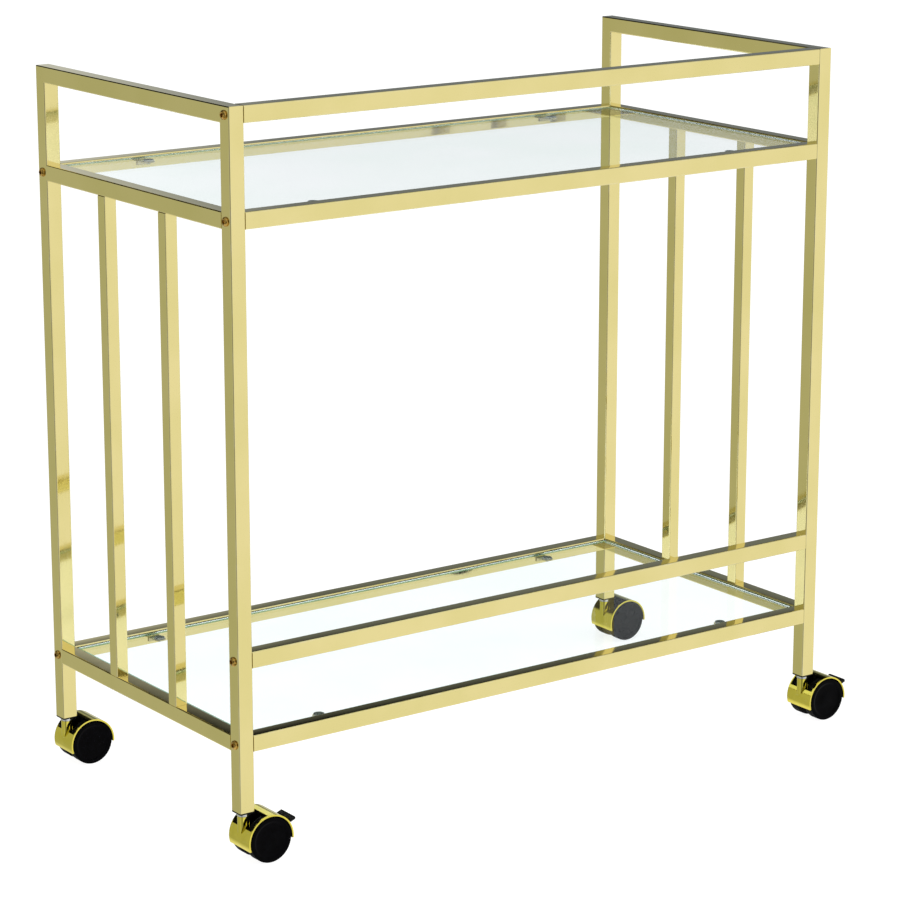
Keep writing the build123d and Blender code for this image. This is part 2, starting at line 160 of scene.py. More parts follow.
rub = add_node(tree, "ShaderNodeMath", {"operation": "MULTIPLY"}, _0=corner,
               _1=patches.outputs[0]).outputs[0]
tone = next(node for node in tree.nodes if node.label == "tone")
worn = add_node(tree, "ShaderNodeMix", {"data_type": "RGBA"}, _0=rub, _6=tone.outputs[2],
                _7=linear("#f0e7bf"))
tree.links.new(worn.outputs[2], shader.inputs["Base Color"])
smooth = next(node for node in tree.nodes if node.label == "gloss").outputs[0]
dulled = add_node(tree, "ShaderNodeMath", {"operation": "MULTIPLY_ADD"}, _0=rub, _1=0.16,
                  _2=smooth)
tree.links.new(dulled.outputs[0], shader.inputs["Roughness"])
print(gold.name, "has", len(tree.nodes), "nodes")

# %% [markdown]
# ## The brighter gold of the caster hoods
# The hoods are moulded in ABS and then plated in a deeper, yellower gold than the tubes. Moulded
# plastic is never quite flat, so reflections swim more than on steel, with waves about 12 mm
# long, and there are short pale scuffs along the hood where it brushes past furniture.

# %% Gold-plated moulded ABS
MOULDING_WAVE_MM, SCUFF_MM = 12, 2.2
hood_gold, tree, shader = finish("gold_plated_moulded_abs", ("#e8da62", "#dccf56"), 18,
                                 (0.04, 0.10), 3, MOULDING_WAVE_MM, 0.12, Metallic=1.0)
place = add_node(tree, "ShaderNodeTexCoord").outputs["Object"]
along = add_node(tree, "ShaderNodeMapping", Vector=place, Scale=(1, 0.15, 1)).outputs[0]
scuffs = add_node(tree, "ShaderNodeTexNoise", Vector=along, Scale=1 / (SCUFF_MM * MM),
                  Detail=4.0)
scuffs = add_node(tree, "ShaderNodeMapRange", _0=scuffs.outputs[0], _1=0.64, _2=0.74)
tone = next(node for node in tree.nodes if node.label == "tone")
scuffed = add_node(tree, "ShaderNodeMix", {"data_type": "RGBA"}, _0=scuffs.outputs[0],
                   _6=tone.outputs[2], _7=linear("#e6dc86"))
tree.links.new(scuffed.outputs[2], shader.inputs["Base Color"])
print(hood_gold.name, "has", len(tree.nodes), "nodes")

# %% [markdown]
# ## Bolts, stems and tabs
# The button-head bolts are steel in an antique bronze: dark in the hollows and rubbed bright on
# the crown, so its tone and gloss change within a few millimetres. The stems, axles and pins are
# turned steel with clear zinc, a cool grey with faint lathe rings. The tabs are pressed sheet
# from the same gold bath as the tubes, but nobody polished them first, so they are duller.

# %% Antique bronze, zinc and satin gold
bronze, _, _ = finish("antique_bronze_steel", ("#6e5421", "#cfa95a"), 2.2,
                      (0.12, 0.3), 1.5, 0.9, 0.05, Metallic=1.0)
zinc, _, _ = finish("zinc_plated_turned_steel", ("#b9bcc0", "#dcdedf"), 3,
                    (0.12, 0.28), 0.5, 0.5, 0.02, (0.05, 0.05, 1), Metallic=1.0)
satin_gold, _, _ = finish("gold_plated_pressed_steel", ("#c9c08d", "#b3ab80"), 6,
                          (0.2, 0.36), 1.5, 1.5, 0.03, Metallic=1.0)

# %% [markdown]
# ## Glass and its ground edge
# The shelves are 5 mm tempered float glass. Its faces are fire-polished and have no texture of
# their own, so they show only a trace of the iron that turns float glass green, a very slight
# roller wave and the odd fingerprint haze. The edge is ground and half polished, and there the
# light has travelled far through the pane, so it is a deeper, misty green. The faces use a lower
# IOR than the 1.5 of a glass block: at a shallow view two faces in a row would otherwise
# reflect nearly half of the light, and the real shelf is much clearer than that. The pads are
# clear silicone, softer and cloudier.

# %% Tempered float glass and silicone
glass, _, _ = finish("tempered_float_glass", ("#f4fbfa", "#f9fdfe"), 160, (0.0, 0.03), 45,
                     220, 0.01, Transmission_Weight=1.0, IOR=1.09)
glass_edge, _, _ = finish("ground_glass_edge", ("#4d8a70", "#7cb09a"), 30, (0.15, 0.35), 1.2,
                          0.8, 0.02, Transmission_Weight=0.7, IOR=1.45)
silicone, _, _ = finish("clear_soft_silicone", ("#d4dcd2", "#eef2ec"), 4, (0.15, 0.35), 1,
                        2, 0.02, Transmission_Weight=0.7, IOR=1.41)

# %% [markdown]
# ## Black plastics
# The plugs and brake levers are black nylon from a spark-eroded mould, which leaves a fine
# pebbled skin with a soft sheen. The wheels are a smoother, deeper black, with a matt tread that
# the floor has rubbed. All of them reflect little: a low specular level keeps the white studio
# from turning them grey. The insides of the hoods are unplated black moulding, and the same black
# paints shade on the strips that close the gap over each wheel.

# %% Moulded nylon, wheel nylon, the hoods' insides and painted shade
nylon, _, _ = finish("spark_eroded_black_nylon", ("#050506", "#0c0c0f"), 9, (0.4, 0.58), 0.7,
                     0.7, 0.06, Specular_IOR_Level=0.12)
wheel_black, _, _ = finish("glossy_black_wheel_nylon", ("#010102", "#040407"), 6, (0.12, 0.3),
                           5, 6, 0.03, Specular_IOR_Level=0.03)
tread, _, _ = finish("matt_wheel_tread", ("#030303", "#0f0f12"), 4, (0.5, 0.75), 1.6,
                     1.6, 0.06, (1, 0.2, 1), Specular_IOR_Level=0.06)
# The same black is painted shade on the strips over the wheels.
black_inside_and_shade, _, _ = finish("unplated_hood_inside_and_painted_shade", ("#050504", "#100e08"), 7, (0.35, 0.6), 1,
                            3, 0.04, Specular_IOR_Level=0.15)

# %% [markdown]
# ## Handing a finished piece over
# A new piece needs the same few things every time: its object at the origin with its place in
# its mesh, the body it moves with, and the CAD node it stands for, which is then hidden. The body
# is already in the imported record, so the piece takes it from the CAD node that it replaces.

# %% Helper that hands a piece over
body_of = {part: body for body, parts in frame["record"]["behaviour"]["bodies"].items()
           for part in parts}


def hand_over(name, mesh, node_names, materials=()):
    """Makes an object of a finished mesh, on the body of the CAD nodes it replaces, and hides
    them.
    """
    for material in materials:
        mesh.materials.append(material)
    mesh.name = name
    piece = bpy.data.objects.new(name, mesh)
    scene.collection.objects.link(piece)
    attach(piece, body_of[node_names[0]])
    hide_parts(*node_names)
    return piece


def wear(node_name, material):
    """Gives a CAD node this material."""
    slots = nodes[node_name].data.materials
    slots.clear()
    slots.append(material)


# %% [markdown]
# ## Square tubes by Geometry Nodes
# Twenty pieces of the cart follow one rule: a square tube with rounded corners, cut to length,
# its ends square or mitred. That rule is a node tree. A square curve is filleted and swept along
# a straight line of four points. The first and last points draw the profile in by a fraction
# of a millimetre, which is the small gap that a welded or bolted joint shows as a dark line.
# A mitre is a shear: each end point moves along the tube in step with its distance across it.
# The tree also writes the attribute "corner", 1 on the rounded corners and 0 on the flats.

# %% The tube's node tree
tube_tree = bpy.data.node_groups.new("square_tube", "GeometryNodeTree")
tube_inputs = {}
for name, kind in (("Length", "Float"), ("Side", "Float"), ("Corner radius", "Float"),
                   ("Joint gap", "Float"), ("Start mitre", "Float"), ("End mitre", "Float"),
                   ("Finish", "Material")):
    socket = tube_tree.interface.new_socket(name, in_out="INPUT",
                                            socket_type="NodeSocket" + kind)
    tube_inputs[name] = socket.identifier
tube_tree.interface.new_socket("Tube", in_out="OUTPUT", socket_type="NodeSocketGeometry")
sizes = add_node(tube_tree, "NodeGroupInput").outputs
length, side, gap = sizes["Length"], sizes["Side"], sizes["Joint gap"]

section = add_node(tube_tree, "GeometryNodeCurvePrimitiveQuadrilateral", Width=side,
                   Height=side)
section = add_node(tube_tree, "GeometryNodeFilletCurve", {"mode": "POLY"},
                   Curve=section.outputs[0], Count=4, Radius=sizes["Corner radius"])
line = add_node(tube_tree, "GeometryNodeCurvePrimitiveLine", End=(0, 0, 1))
path = add_node(tube_tree, "GeometryNodeResampleCurve", Curve=line.outputs[0], Count=4)
index = add_node(tube_tree, "GeometryNodeInputIndex").outputs[0]
# Points 0 to 3 of the path stand at 0, gap, length - gap and length.
short_of_end = add_node(tube_tree, "ShaderNodeMath", {"operation": "SUBTRACT"}, _0=length,
                        _1=gap)
# A section drawn in by the gap on each side is this share of the full one.
twice_gap = add_node(tube_tree, "ShaderNodeMath", {"operation": "MULTIPLY"}, _0=gap, _1=2.0)
full_less = add_node(tube_tree, "ShaderNodeMath", {"operation": "SUBTRACT"}, _0=side,
                     _1=twice_gap.outputs[0])
drawn_in = add_node(tube_tree, "ShaderNodeMath", {"operation": "DIVIDE"},
                    _0=full_less.outputs[0], _1=side)
by_point = []
for values in ((0.0, gap, short_of_end.outputs[0], length),
               (drawn_in.outputs[0], 1.0, 1.0, drawn_in.outputs[0])):
    switch = add_node(tube_tree, "GeometryNodeIndexSwitch", {"data_type": "FLOAT"}, Index=index)
    switch.index_switch_items.new()
    switch.index_switch_items.new()
    for item, value in enumerate(values, 1):
        if isinstance(value, float):
            switch.inputs[item].default_value = value
        else:
            tube_tree.links.new(value, switch.inputs[item])
    by_point.append(switch.outputs[0])
height, scale = by_point
upright = add_node(tube_tree, "ShaderNodeCombineXYZ", Z=height)
path = add_node(tube_tree, "GeometryNodeSetPosition", Geometry=path.outputs[0],
                Position=upright.outputs[0])
swept = add_node(tube_tree, "GeometryNodeCurveToMesh", Curve=path.outputs[0],
                 Profile_Curve=section.outputs[0], Scale=scale, Fill_Caps=True)

position = add_node(tube_tree, "GeometryNodeInputPosition").outputs[0]
point = add_node(tube_tree, "ShaderNodeSeparateXYZ", Vector=position).outputs
half_length = add_node(tube_tree, "ShaderNodeMath", {"operation": "MULTIPLY"}, _0=length,
                       _1=0.5)
far_half = add_node(tube_tree, "ShaderNodeMath", {"operation": "GREATER_THAN"}, _0=point["Z"],
                    _1=half_length.outputs[0])
mitre = add_node(tube_tree, "ShaderNodeMix", {"data_type": "FLOAT"}, _0=far_half.outputs[0],
                 _2=sizes["Start mitre"], _3=sizes["End mitre"])
slide = add_node(tube_tree, "ShaderNodeMath", {"operation": "MULTIPLY"}, _0=mitre.outputs[0],
                 _1=point["Y"])
shear = add_node(tube_tree, "ShaderNodeCombineXYZ", Z=slide.outputs[0])
mitred = add_node(tube_tree, "GeometryNodeSetPosition", Geometry=swept.outputs[0],
                  Offset=shear.outputs[0])

# On a rounded corner both distances from the middle line are more than the flat's half width.
away = add_node(tube_tree, "ShaderNodeVectorMath", {"operation": "ABSOLUTE"}, _0=position)
away = add_node(tube_tree, "ShaderNodeSeparateXYZ", Vector=away.outputs[0]).outputs
nearer = add_node(tube_tree, "ShaderNodeMath", {"operation": "MINIMUM"}, _0=away["X"],
                  _1=away["Y"])
most_of_corner = add_node(tube_tree, "ShaderNodeMath", {"operation": "MULTIPLY"},
                          _0=sizes["Corner radius"], _1=-0.95)
flat_half = add_node(tube_tree, "ShaderNodeMath", {"operation": "MULTIPLY_ADD"}, _0=side,
                     _1=0.5, _2=most_of_corner.outputs[0])
on_corner = add_node(tube_tree, "ShaderNodeMath", {"operation": "GREATER_THAN"},
                     _0=nearer.outputs[0], _1=flat_half.outputs[0])
marked = add_node(tube_tree, "GeometryNodeStoreNamedAttribute", {"data_type": "FLOAT"},
                  Geometry=mitred.outputs[0], Name="corner", Value=on_corner.outputs[0])
real_mesh = add_node(tube_tree, "GeometryNodeRealizeInstances", Geometry=marked.outputs[0])
plated = add_node(tube_tree, "GeometryNodeSetMaterial", Geometry=real_mesh.outputs[0],
                  Material=sizes["Finish"])
add_node(tube_tree, "NodeGroupOutput", Tube=plated.outputs[0])
print("tube tree:", len(tube_tree.nodes), "nodes")

# %% [markdown]
# ## Cutting the twenty tubes
# Each tube's box in CAD says all that the tree needs: the longest side is its length and
# direction, the shortest its section. Posts are mitred at the top and top side rails at both
# ends, so for those the length is measured to the middle of the mitre. The sweep shades the
# flats and the corners together, so a weighted normal modifier then keeps every flat truly flat.

# %% Cut the tubes
TUBE_CORNER = 1.8 * MM
SLAT_CORNER = 1.6 * MM
JOINT_GAP = 0.14 * MM
# Columns are the tube's own x, y and length directions in the cart's frame.
ALONG = {
    0: Matrix(((0, 0, 1, 0), (1, 0, 0, 0), (0, 1, 0, 0), (0, 0, 0, 1))),
    1: Matrix(((-1, 0, 0, 0), (0, 0, 1, 0), (0, 1, 0, 0), (0, 0, 0, 1))),
    2: Matrix.Identity(4),
}


def evaluated_mesh(carrier):
    """The finished mesh of an object with modifiers; the object itself is then removed."""
    view = bpy.context.evaluated_depsgraph_get()
    mesh = bpy.data.meshes.new_from_object(carrier.evaluated_get(view))
    bpy.data.objects.remove(carrier)
    return mesh


def cut_tube(name):
    """One square tube in the place of the CAD node of this name."""
    low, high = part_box(name)
    size = high - low
    direction = max(range(3), key=lambda axis: size[axis])
    side = min(size)
    start = (low + high) / 2
    start[direction] = low[direction]
    length = size[direction]
    start_mitre = end_mitre = 0.0
    if name.endswith("post"):
        length -= side / 2
        end_mitre = -1.0 if start.y < 0 else 1.0
    elif name in ("left_top_rail", "right_top_rail"):
        length -= side
        start[direction] += side / 2
        start_mitre, end_mitre = -1.0, 1.0
    carrier = bpy.data.objects.new("tube_carrier", bpy.data.meshes.new("empty"))
    scene.collection.objects.link(carrier)
    sweep = carrier.modifiers.new("sweep", "NODES")
    sweep.node_group = tube_tree
    corner_radius = SLAT_CORNER if name.endswith("slat") else TUBE_CORNER
    for label, value in (("Length", length), ("Side", side), ("Corner radius", corner_radius),
                         ("Joint gap", JOINT_GAP), ("Start mitre", start_mitre),
                         ("End mitre", end_mitre), ("Finish", gold)):
        sweep[tube_inputs[label]] = value
    carrier.modifiers.new("flat_flats", "WEIGHTED_NORMAL")
    mesh = evaluated_mesh(carrier)
    mesh.transform(Matrix.Translation(start) @ ALONG[direction])
    return hand_over("tube_" + name, mesh, [name])


tube_names = [name for name in nodes if name.endswith(("_post", "_rail", "_slat"))]
for name in tube_names:
    tube = cut_tube(name)
print(len(tube_names), "tubes; the last has", len(tube.data.polygons), "faces")

# %% [markdown]
# ## Turned pieces
# Bolts, wheels and stems are all turned: a profile carried round an axis. A list of rings, each
# with a radius and a height, says the same thing in a few numbers, and lets a ring be something
# other than round, which is how the bolt gets a hexagonal socket. Sharp steps between rings stay
# sharp in the shading, and gentle ones are smoothed.

# %% Helper for turned pieces
SHARP_STEP = math.radians(32)


def turned(rings, steps, finish_of=None):
    """A closed mesh about Z from rings of (radius, height); a radius may depend on the angle."""
    shape = bmesh.new()
    loops = []
    for radius, height in rings:
        if radius == 0:
            loops.append([shape.verts.new((0, 0, height))])
            continue
        loop = []
        for step in range(steps):
            angle = 2 * math.pi * step / steps
            reach = radius(angle) if callable(radius) else radius
            place = (reach * math.cos(angle), reach * math.sin(angle), height)
            loop.append(shape.verts.new(place))
        loops.append(loop)
    for band, (lower, upper) in enumerate(zip(loops, loops[1:])):
        for step in range(steps):
            after = (step + 1) % steps
            corners = [lower[step % len(lower)], lower[after % len(lower)],
                       upper[after % len(upper)], upper[step % len(upper)]]
            face = shape.faces.new(list(dict.fromkeys(corners)))
            face.material_index = finish_of(band) if finish_of else 0
    bmesh.ops.recalc_face_normals(shape, faces=shape.faces)
    mesh = bpy.data.meshes.new("turned")
    shape.to_mesh(mesh)
    shape.free()
    mesh.shade_smooth()
    mesh.set_sharp_from_angle(angle=SHARP_STEP)
    return mesh


def arc_rings(centre_radius, centre_height, radius, start, end, count=5):
    """Rings along an arc of the profile, with angles in degrees from the outward direction."""
    angles = [math.radians(start + (end - start) * i / (count - 1)) for i in range(count)]
    return [(centre_radius + radius * math.cos(a), centre_height + radius * math.sin(a))
            for a in angles]


print("a quarter arc:", len(arc_rings(0, 0, 1, 0, 90)), "rings")

# %% [markdown]
# ## Button-head bolts
# Twelve bolts hold the long rails. Each shows a low domed head with a rolled rim and a hexagonal
# socket. One bolt is turned here, and Geometry Nodes then places a copy at each seat, turned to
# look away from the middle of the cart. The tree ends by making the copies real, so one mesh
# holds all twelve.

# %% Turn one bolt
HEAD_RADIUS, HEAD_HEIGHT, SHANK_RADIUS, SHANK_LENGTH = 5 * MM, 3.2 * MM, 3 * MM, 30 * MM
SOCKET_HALF, SOCKET_DEPTH, SOCKET_POINT = 2 * MM, 2 * MM, 0.4 * MM
RIM_HEIGHT, RIM_ROUND = 0.5 * MM, 0.3 * MM
SOCKET_TURN = math.pi / 3


def socket_wall(angle):
    """Distance to a hexagon's wall in this direction."""
    return SOCKET_HALF / math.cos((angle + SOCKET_TURN / 2) % SOCKET_TURN - SOCKET_TURN / 2)


shank = [(0, -SHANK_LENGTH), (SHANK_RADIUS * 0.8, -SHANK_LENGTH),
         (SHANK_RADIUS, -SHANK_LENGTH + 0.8 * MM), (SHANK_RADIUS, 0)]
rim = [(HEAD_RADIUS - RIM_ROUND, 0), (HEAD_RADIUS, RIM_ROUND)]
crown_angles = [math.radians(a) for a in (8, 22, 36, 50, 62)]
# Powers a little under 1 make the dome fuller than a part of an ellipse.
crown = [(HEAD_RADIUS * math.cos(a) ** 0.8,
          RIM_HEIGHT + (HEAD_HEIGHT - RIM_HEIGHT) * math.sin(a) ** 0.9) for a in crown_angles]
socket_floor = HEAD_HEIGHT - SOCKET_DEPTH
hex_socket = [(2.75 * MM, HEAD_HEIGHT * 0.985), (2.5 * MM, HEAD_HEIGHT * 0.97),
              (socket_wall, HEAD_HEIGHT - 0.35 * MM), (socket_wall, socket_floor),
              (0, socket_floor - SOCKET_POINT)]
one_bolt = bpy.data.objects.new("one_bolt", turned(shank + rim + crown + hex_socket, 48))
scene.collection.objects.link(one_bolt)
print("one bolt:", len(one_bolt.data.polygons), "faces")

# %% [markdown]
# A seat is the place of a bolt: each long rail is held by one bolt through each side frame, so
# the seats follow from the boxes of the rails. They are the vertices of a small mesh, because
# that is what Geometry Nodes can put copies on.

# %% Place twelve bolts on their seats

seat_places = []
for side in ("left", "right"):
    outer_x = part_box(side + "_top_rail")[0 if side == "left" else 1].x
    for name in tube_names:
        if name.startswith(("front_", "back_")):
            low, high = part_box(name)
            seat_places.append((outer_x, (low.y + high.y) / 2, (low.z + high.z) / 2))
seats = bpy.data.meshes.new("bolt_seats")
seats.from_pydata(seat_places, [], [])

bolt_tree = bpy.data.node_groups.new("bolts_on_seats", "GeometryNodeTree")
bolt_inputs = {}
for name, kind in (("Seats", "Geometry"), ("Bolt", "Object"), ("Finish", "Material")):
    socket = bolt_tree.interface.new_socket(name, in_out="INPUT",
                                            socket_type="NodeSocket" + kind)
    bolt_inputs[name] = socket.identifier
bolt_tree.interface.new_socket("Bolts", in_out="OUTPUT", socket_type="NodeSocketGeometry")
given = add_node(bolt_tree, "NodeGroupInput").outputs
bolt_shape = add_node(bolt_tree, "GeometryNodeObjectInfo", Object=given["Bolt"])
seat = add_node(bolt_tree, "GeometryNodeInputPosition").outputs[0]
seat_x = add_node(bolt_tree, "ShaderNodeSeparateXYZ", Vector=seat).outputs["X"]
outward = add_node(bolt_tree, "ShaderNodeCombineXYZ", X=seat_x)
facing = add_node(bolt_tree, "FunctionNodeAlignRotationToVector", {"axis": "Z"},
                  Vector=outward.outputs[0])
# Each bolt was tightened to its own angle, so each socket is turned by a seeded random amount.
turn = add_node(bolt_tree, "FunctionNodeRandomValue", {"data_type": "FLOAT"}, _2=0.0, _3=1.05,
                Seed=7)
own_turn = add_node(bolt_tree, "ShaderNodeCombineXYZ", Z=turn.outputs[1])
tightened = add_node(bolt_tree, "FunctionNodeRotateRotation", {"rotation_space": "LOCAL"},
                     Rotation=facing.outputs[0], _1=own_turn.outputs[0])
copies = add_node(bolt_tree, "GeometryNodeInstanceOnPoints", Points=given["Seats"],
                  Instance=bolt_shape.outputs["Geometry"], Rotation=tightened.outputs[0])
real_bolts = add_node(bolt_tree, "GeometryNodeRealizeInstances", Geometry=copies.outputs[0])
bronzed = add_node(bolt_tree, "GeometryNodeSetMaterial", Geometry=real_bolts.outputs[0],
                   Material=given["Finish"])
add_node(bolt_tree, "NodeGroupOutput", Bolts=bronzed.outputs[0])

carrier = bpy.data.objects.new("bolt_carrier", seats)
scene.collection.objects.link(carrier)
placing = carrier.modifiers.new("place", "NODES")
placing.node_group = bolt_tree
placing[bolt_inputs["Bolt"]] = one_bolt
placing[bolt_inputs["Finish"]] = bronze
hand_over("button_head_bolts", evaluated_mesh(carrier), ["frame_bolts"])
bpy.data.objects.remove(one_bolt)
print(len(seat_places), "bolts")

# %% [markdown]
# ## Glass panes
# A pane is a rounded rectangle with a ground edge: two small bevels, joined by a slightly
# crowned band. It is built as a stack of outlines, each a little further in or out, so the edge
# keeps its shape round the corners. The bands take the ground edge's material, and the two large
# faces the clear one.

# %% Build the panes
PANE_CORNER = 3 * MM
EDGE_PROFILE = ((1.0, 0.0), (0.45, 0.35), (0.12, 1.0), (0.0, 2.0), (0.0, 3.0), (0.12, 4.0),
                (0.45, 4.65), (1.0, 5.0))  # inset and height in mm, from the lower face up


def pane_outline(low, high, inset, corner_steps=6):
    """Points round a rounded rectangle, drawn in by inset."""
    radius = PANE_CORNER - inset
    points = []
    for quarter, (x, y) in enumerate(((high.x, high.y), (low.x, high.y), (low.x, low.y),
                                      (high.x, low.y))):
        centre_x = x - math.copysign(PANE_CORNER, x)
        centre_y = y - math.copysign(PANE_CORNER, y)
        for step in range(corner_steps + 1):
            angle = math.pi / 2 * (quarter + step / corner_steps)
            points.append((centre_x + radius * math.cos(angle),
                           centre_y + radius * math.sin(angle)))
    return points


for shelf in ("upper", "lower"):
    low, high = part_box(shelf + "_glass")
    shape = bmesh.new()
    rings = [[shape.verts.new((x, y, low.z + rise * MM)) for x, y in
              pane_outline(low, high, inset * MM)] for inset, rise in EDGE_PROFILE]
    for lower_ring, upper_ring in zip(rings, rings[1:]):
        for i in range(len(lower_ring)):
            after = (i + 1) % len(lower_ring)
            band = shape.faces.new((lower_ring[i], lower_ring[after],
                                    upper_ring[after], upper_ring[i]))
            band.material_index = 1
            band.smooth = True
    shape.faces.new(rings[-1])
    shape.faces.new(list(reversed(rings[0])))
    bmesh.ops.recalc_face_normals(shape, faces=shape.faces)
    mesh = bpy.data.meshes.new("pane")
    shape.to_mesh(mesh)
    shape.free()
    mesh.set_sharp_from_angle(angle=SHARP_STEP)
    pane = hand_over(shelf + "_pane", mesh, [shelf + "_glass"], (glass, glass_edge))
    # A clear pane lets the studio's light through to the floor, so it throws no shadow.
    pane.visible_shadow = False
print("panes", [round(side, 4) for side in high - low], "m")

# %% [markdown]
# ## Softening the moulded and pressed pieces
# Hoods, levers, tabs and pads have the right shape in CAD, but their edges are knife sharp, and
# no moulded or pressed edge is. An edge needs a small radius to catch a line of light. The CAD
# mesh is loose triangles, so a copy of it is merged first, its flat faces are joined, and then a
# bevel rounds the edges that are sharper than 35 degrees.

# %% Helper that rounds the edges of a copy
SAME_POINT = 0.002 * MM


def softened(node_name, width, sharp_degrees=35, finish_of=None, extras=()):
    """A copy of a CAD node's mesh, with any extra meshes, its sharp edges rounded to a width."""
    mesh = nodes[node_name].data.copy()
    mesh.materials.clear()
    shape = bmesh.new()
    shape.from_mesh(mesh)
    bmesh.ops.remove_doubles(shape, verts=shape.verts, dist=SAME_POINT)
    bmesh.ops.dissolve_degenerate(shape, dist=SAME_POINT, edges=shape.edges)
    bmesh.ops.dissolve_limit(shape, angle_limit=math.radians(1), verts=shape.verts,
                             edges=shape.edges)
    for face in shape.faces:
        face.smooth = True
        face.material_index = finish_of(face) if finish_of else 0
    for extra in extras:
        shape.from_mesh(extra)
    shape.to_mesh(mesh)
    shape.free()
    if mesh.has_custom_normals:
        mesh.attributes.remove(mesh.attributes["custom_normal"])
    carrier = bpy.data.objects.new("softening", mesh)
    scene.collection.objects.link(carrier)
    rounding = carrier.modifiers.new("rounding", "BEVEL")
    rounding.width = width
    rounding.segments = 2
    rounding.angle_limit = math.radians(sharp_degrees)
    rounding.use_clamp_overlap = True
    rounding.loop_slide = False
    carrier.modifiers.new("flat_flats", "WEIGHTED_NORMAL").keep_sharp = True
    return evaluated_mesh(carrier)


PRESSED_EDGE, PAD_EDGE = 0.3 * MM, 0.35 * MM
for shelf in ("upper", "lower"):
    tabs = hand_over(shelf + "_pressed_tabs", softened(shelf + "_shelf_tabs", PRESSED_EDGE),
                     [shelf + "_shelf_tabs"], [satin_gold])
    pads = hand_over(shelf + "_soft_pads", softened(shelf + "_glass_pads", PAD_EDGE),
                     [shelf + "_glass_pads"], [silicone])
print("tabs:", len(tabs.data.polygons), "faces; pads:", len(pads.data.polygons), "faces")

# %% [markdown]
# ## Casters
# Each caster is a plated hood over two black wheels. The hood is softened from CAD, and only its
# outside is plated: every face that looks at the axle from inside the shell is bare black
# moulding, except the boss that takes the stem. Inside each rim, beside the window at the stem,
# a small black strip of painted shade closes the gap over the wheel. A strip and a brake lever's
# rib are both one outline carried along a few places, so one helper makes them.

# %% Helpers for ribs and painted-shade strips
# A strip of painted shade: black, and only where the gap over a wheel shows beside the window.
SHADE_STRIP_REACH = (25.35 * MM, 26.2 * MM)
SHADE_STRIP_ACROSS = (18.3 * MM, 19.4 * MM)
SHADE_STRIP_START, SHADE_STRIP_TURN, SHADE_STRIP_STEPS = 95, 57, 16
# Slot 1 is bare black inside the hood, and painted shade on the strips over the wheels.
PLATED, BARE_BLACK_AND_SHADE = 0, 1


def swept_section(outline, places):
    """A closed mesh from copies of one outline; each place turns an outline point into 3-D."""
    shape = bmesh.new()
    loops = [[shape.verts.new(place(across, up)) for across, up in outline] for place in places]
    for first, second in zip(loops, loops[1:]):
        for i in range(len(outline)):
            after = (i + 1) % len(outline)
            shape.faces.new((first[i], first[after], second[after], second[i]))
    shape.faces.new(loops[0])
    shape.faces.new(list(reversed(loops[-1])))
    bmesh.ops.recalc_face_normals(shape, faces=shape.faces)
    mesh = bpy.data.meshes.new("swept")
    shape.to_mesh(mesh)
    shape.free()
    return mesh


def gap_shade_strip(centre, side):
    """A black strip of painted shade under a hood's rim beside its window, over the wheel's gap.
    """
    (inner, outer), (near, far) = SHADE_STRIP_REACH, SHADE_STRIP_ACROSS
    outline = [(inner, near), (outer, near), (outer, far), (inner, far)]
    turns = [math.radians(SHADE_STRIP_START + SHADE_STRIP_TURN * step / SHADE_STRIP_STEPS)
             for step in range(SHADE_STRIP_STEPS + 1)]
    places = [lambda reach, y, a=a: (centre.x + reach * math.cos(a), centre.y + side * y,
                                     centre.z + reach * math.sin(a)) for a in turns]
    mesh = swept_section(outline, places)
    for face in mesh.polygons:
        face.material_index = BARE_BLACK_AND_SHADE
    return mesh


print("beads run over", SHADE_STRIP_TURN, "degrees of a hood")

# %% [markdown]
# ## Grip ribs on the brake levers
# A toe has to hold the lever, so its pedal has low ribs across it. One rib is a half-round bar
# with rounded shoulders, and Geometry Nodes sets copies of it in a row along the pedal. The row
# is made once, lying flat at the origin, and then turned and moved to each lever's pin.

# %% One row of grip ribs
LEVER_RISE = math.radians(23)
PEDAL_HALF_THICKNESS = 1.9 * MM
RIB_HALF_WIDTH, RIB_HEIGHT = 0.55 * MM, 0.4 * MM
RIB_HALF_LENGTH, RIB_SHOULDER = 10.5 * MM, 0.5 * MM
FIRST_RIB, RIB_SPACING, RIB_COUNT = 15.0 * MM, 1.9 * MM, 3
rib_outline = [(RIB_HALF_WIDTH * math.cos(math.pi * i / 6), RIB_HEIGHT * math.sin(math.pi * i / 6))
               for i in range(7)]
# Where along the rib a section stands, and its share of the full section.
flat_end = RIB_HALF_LENGTH - RIB_SHOULDER
rib_ends = [(-RIB_HALF_LENGTH, 0.4), (-flat_end, 1.0), (flat_end, 1.0), (RIB_HALF_LENGTH, 0.4)]
one_rib = bpy.data.objects.new("one_rib", swept_section(
    rib_outline, [lambda x, z, y=y, k=k: (x * k, y, PEDAL_HALF_THICKNESS + z * k)
                  for y, k in rib_ends]))
scene.collection.objects.link(one_rib)

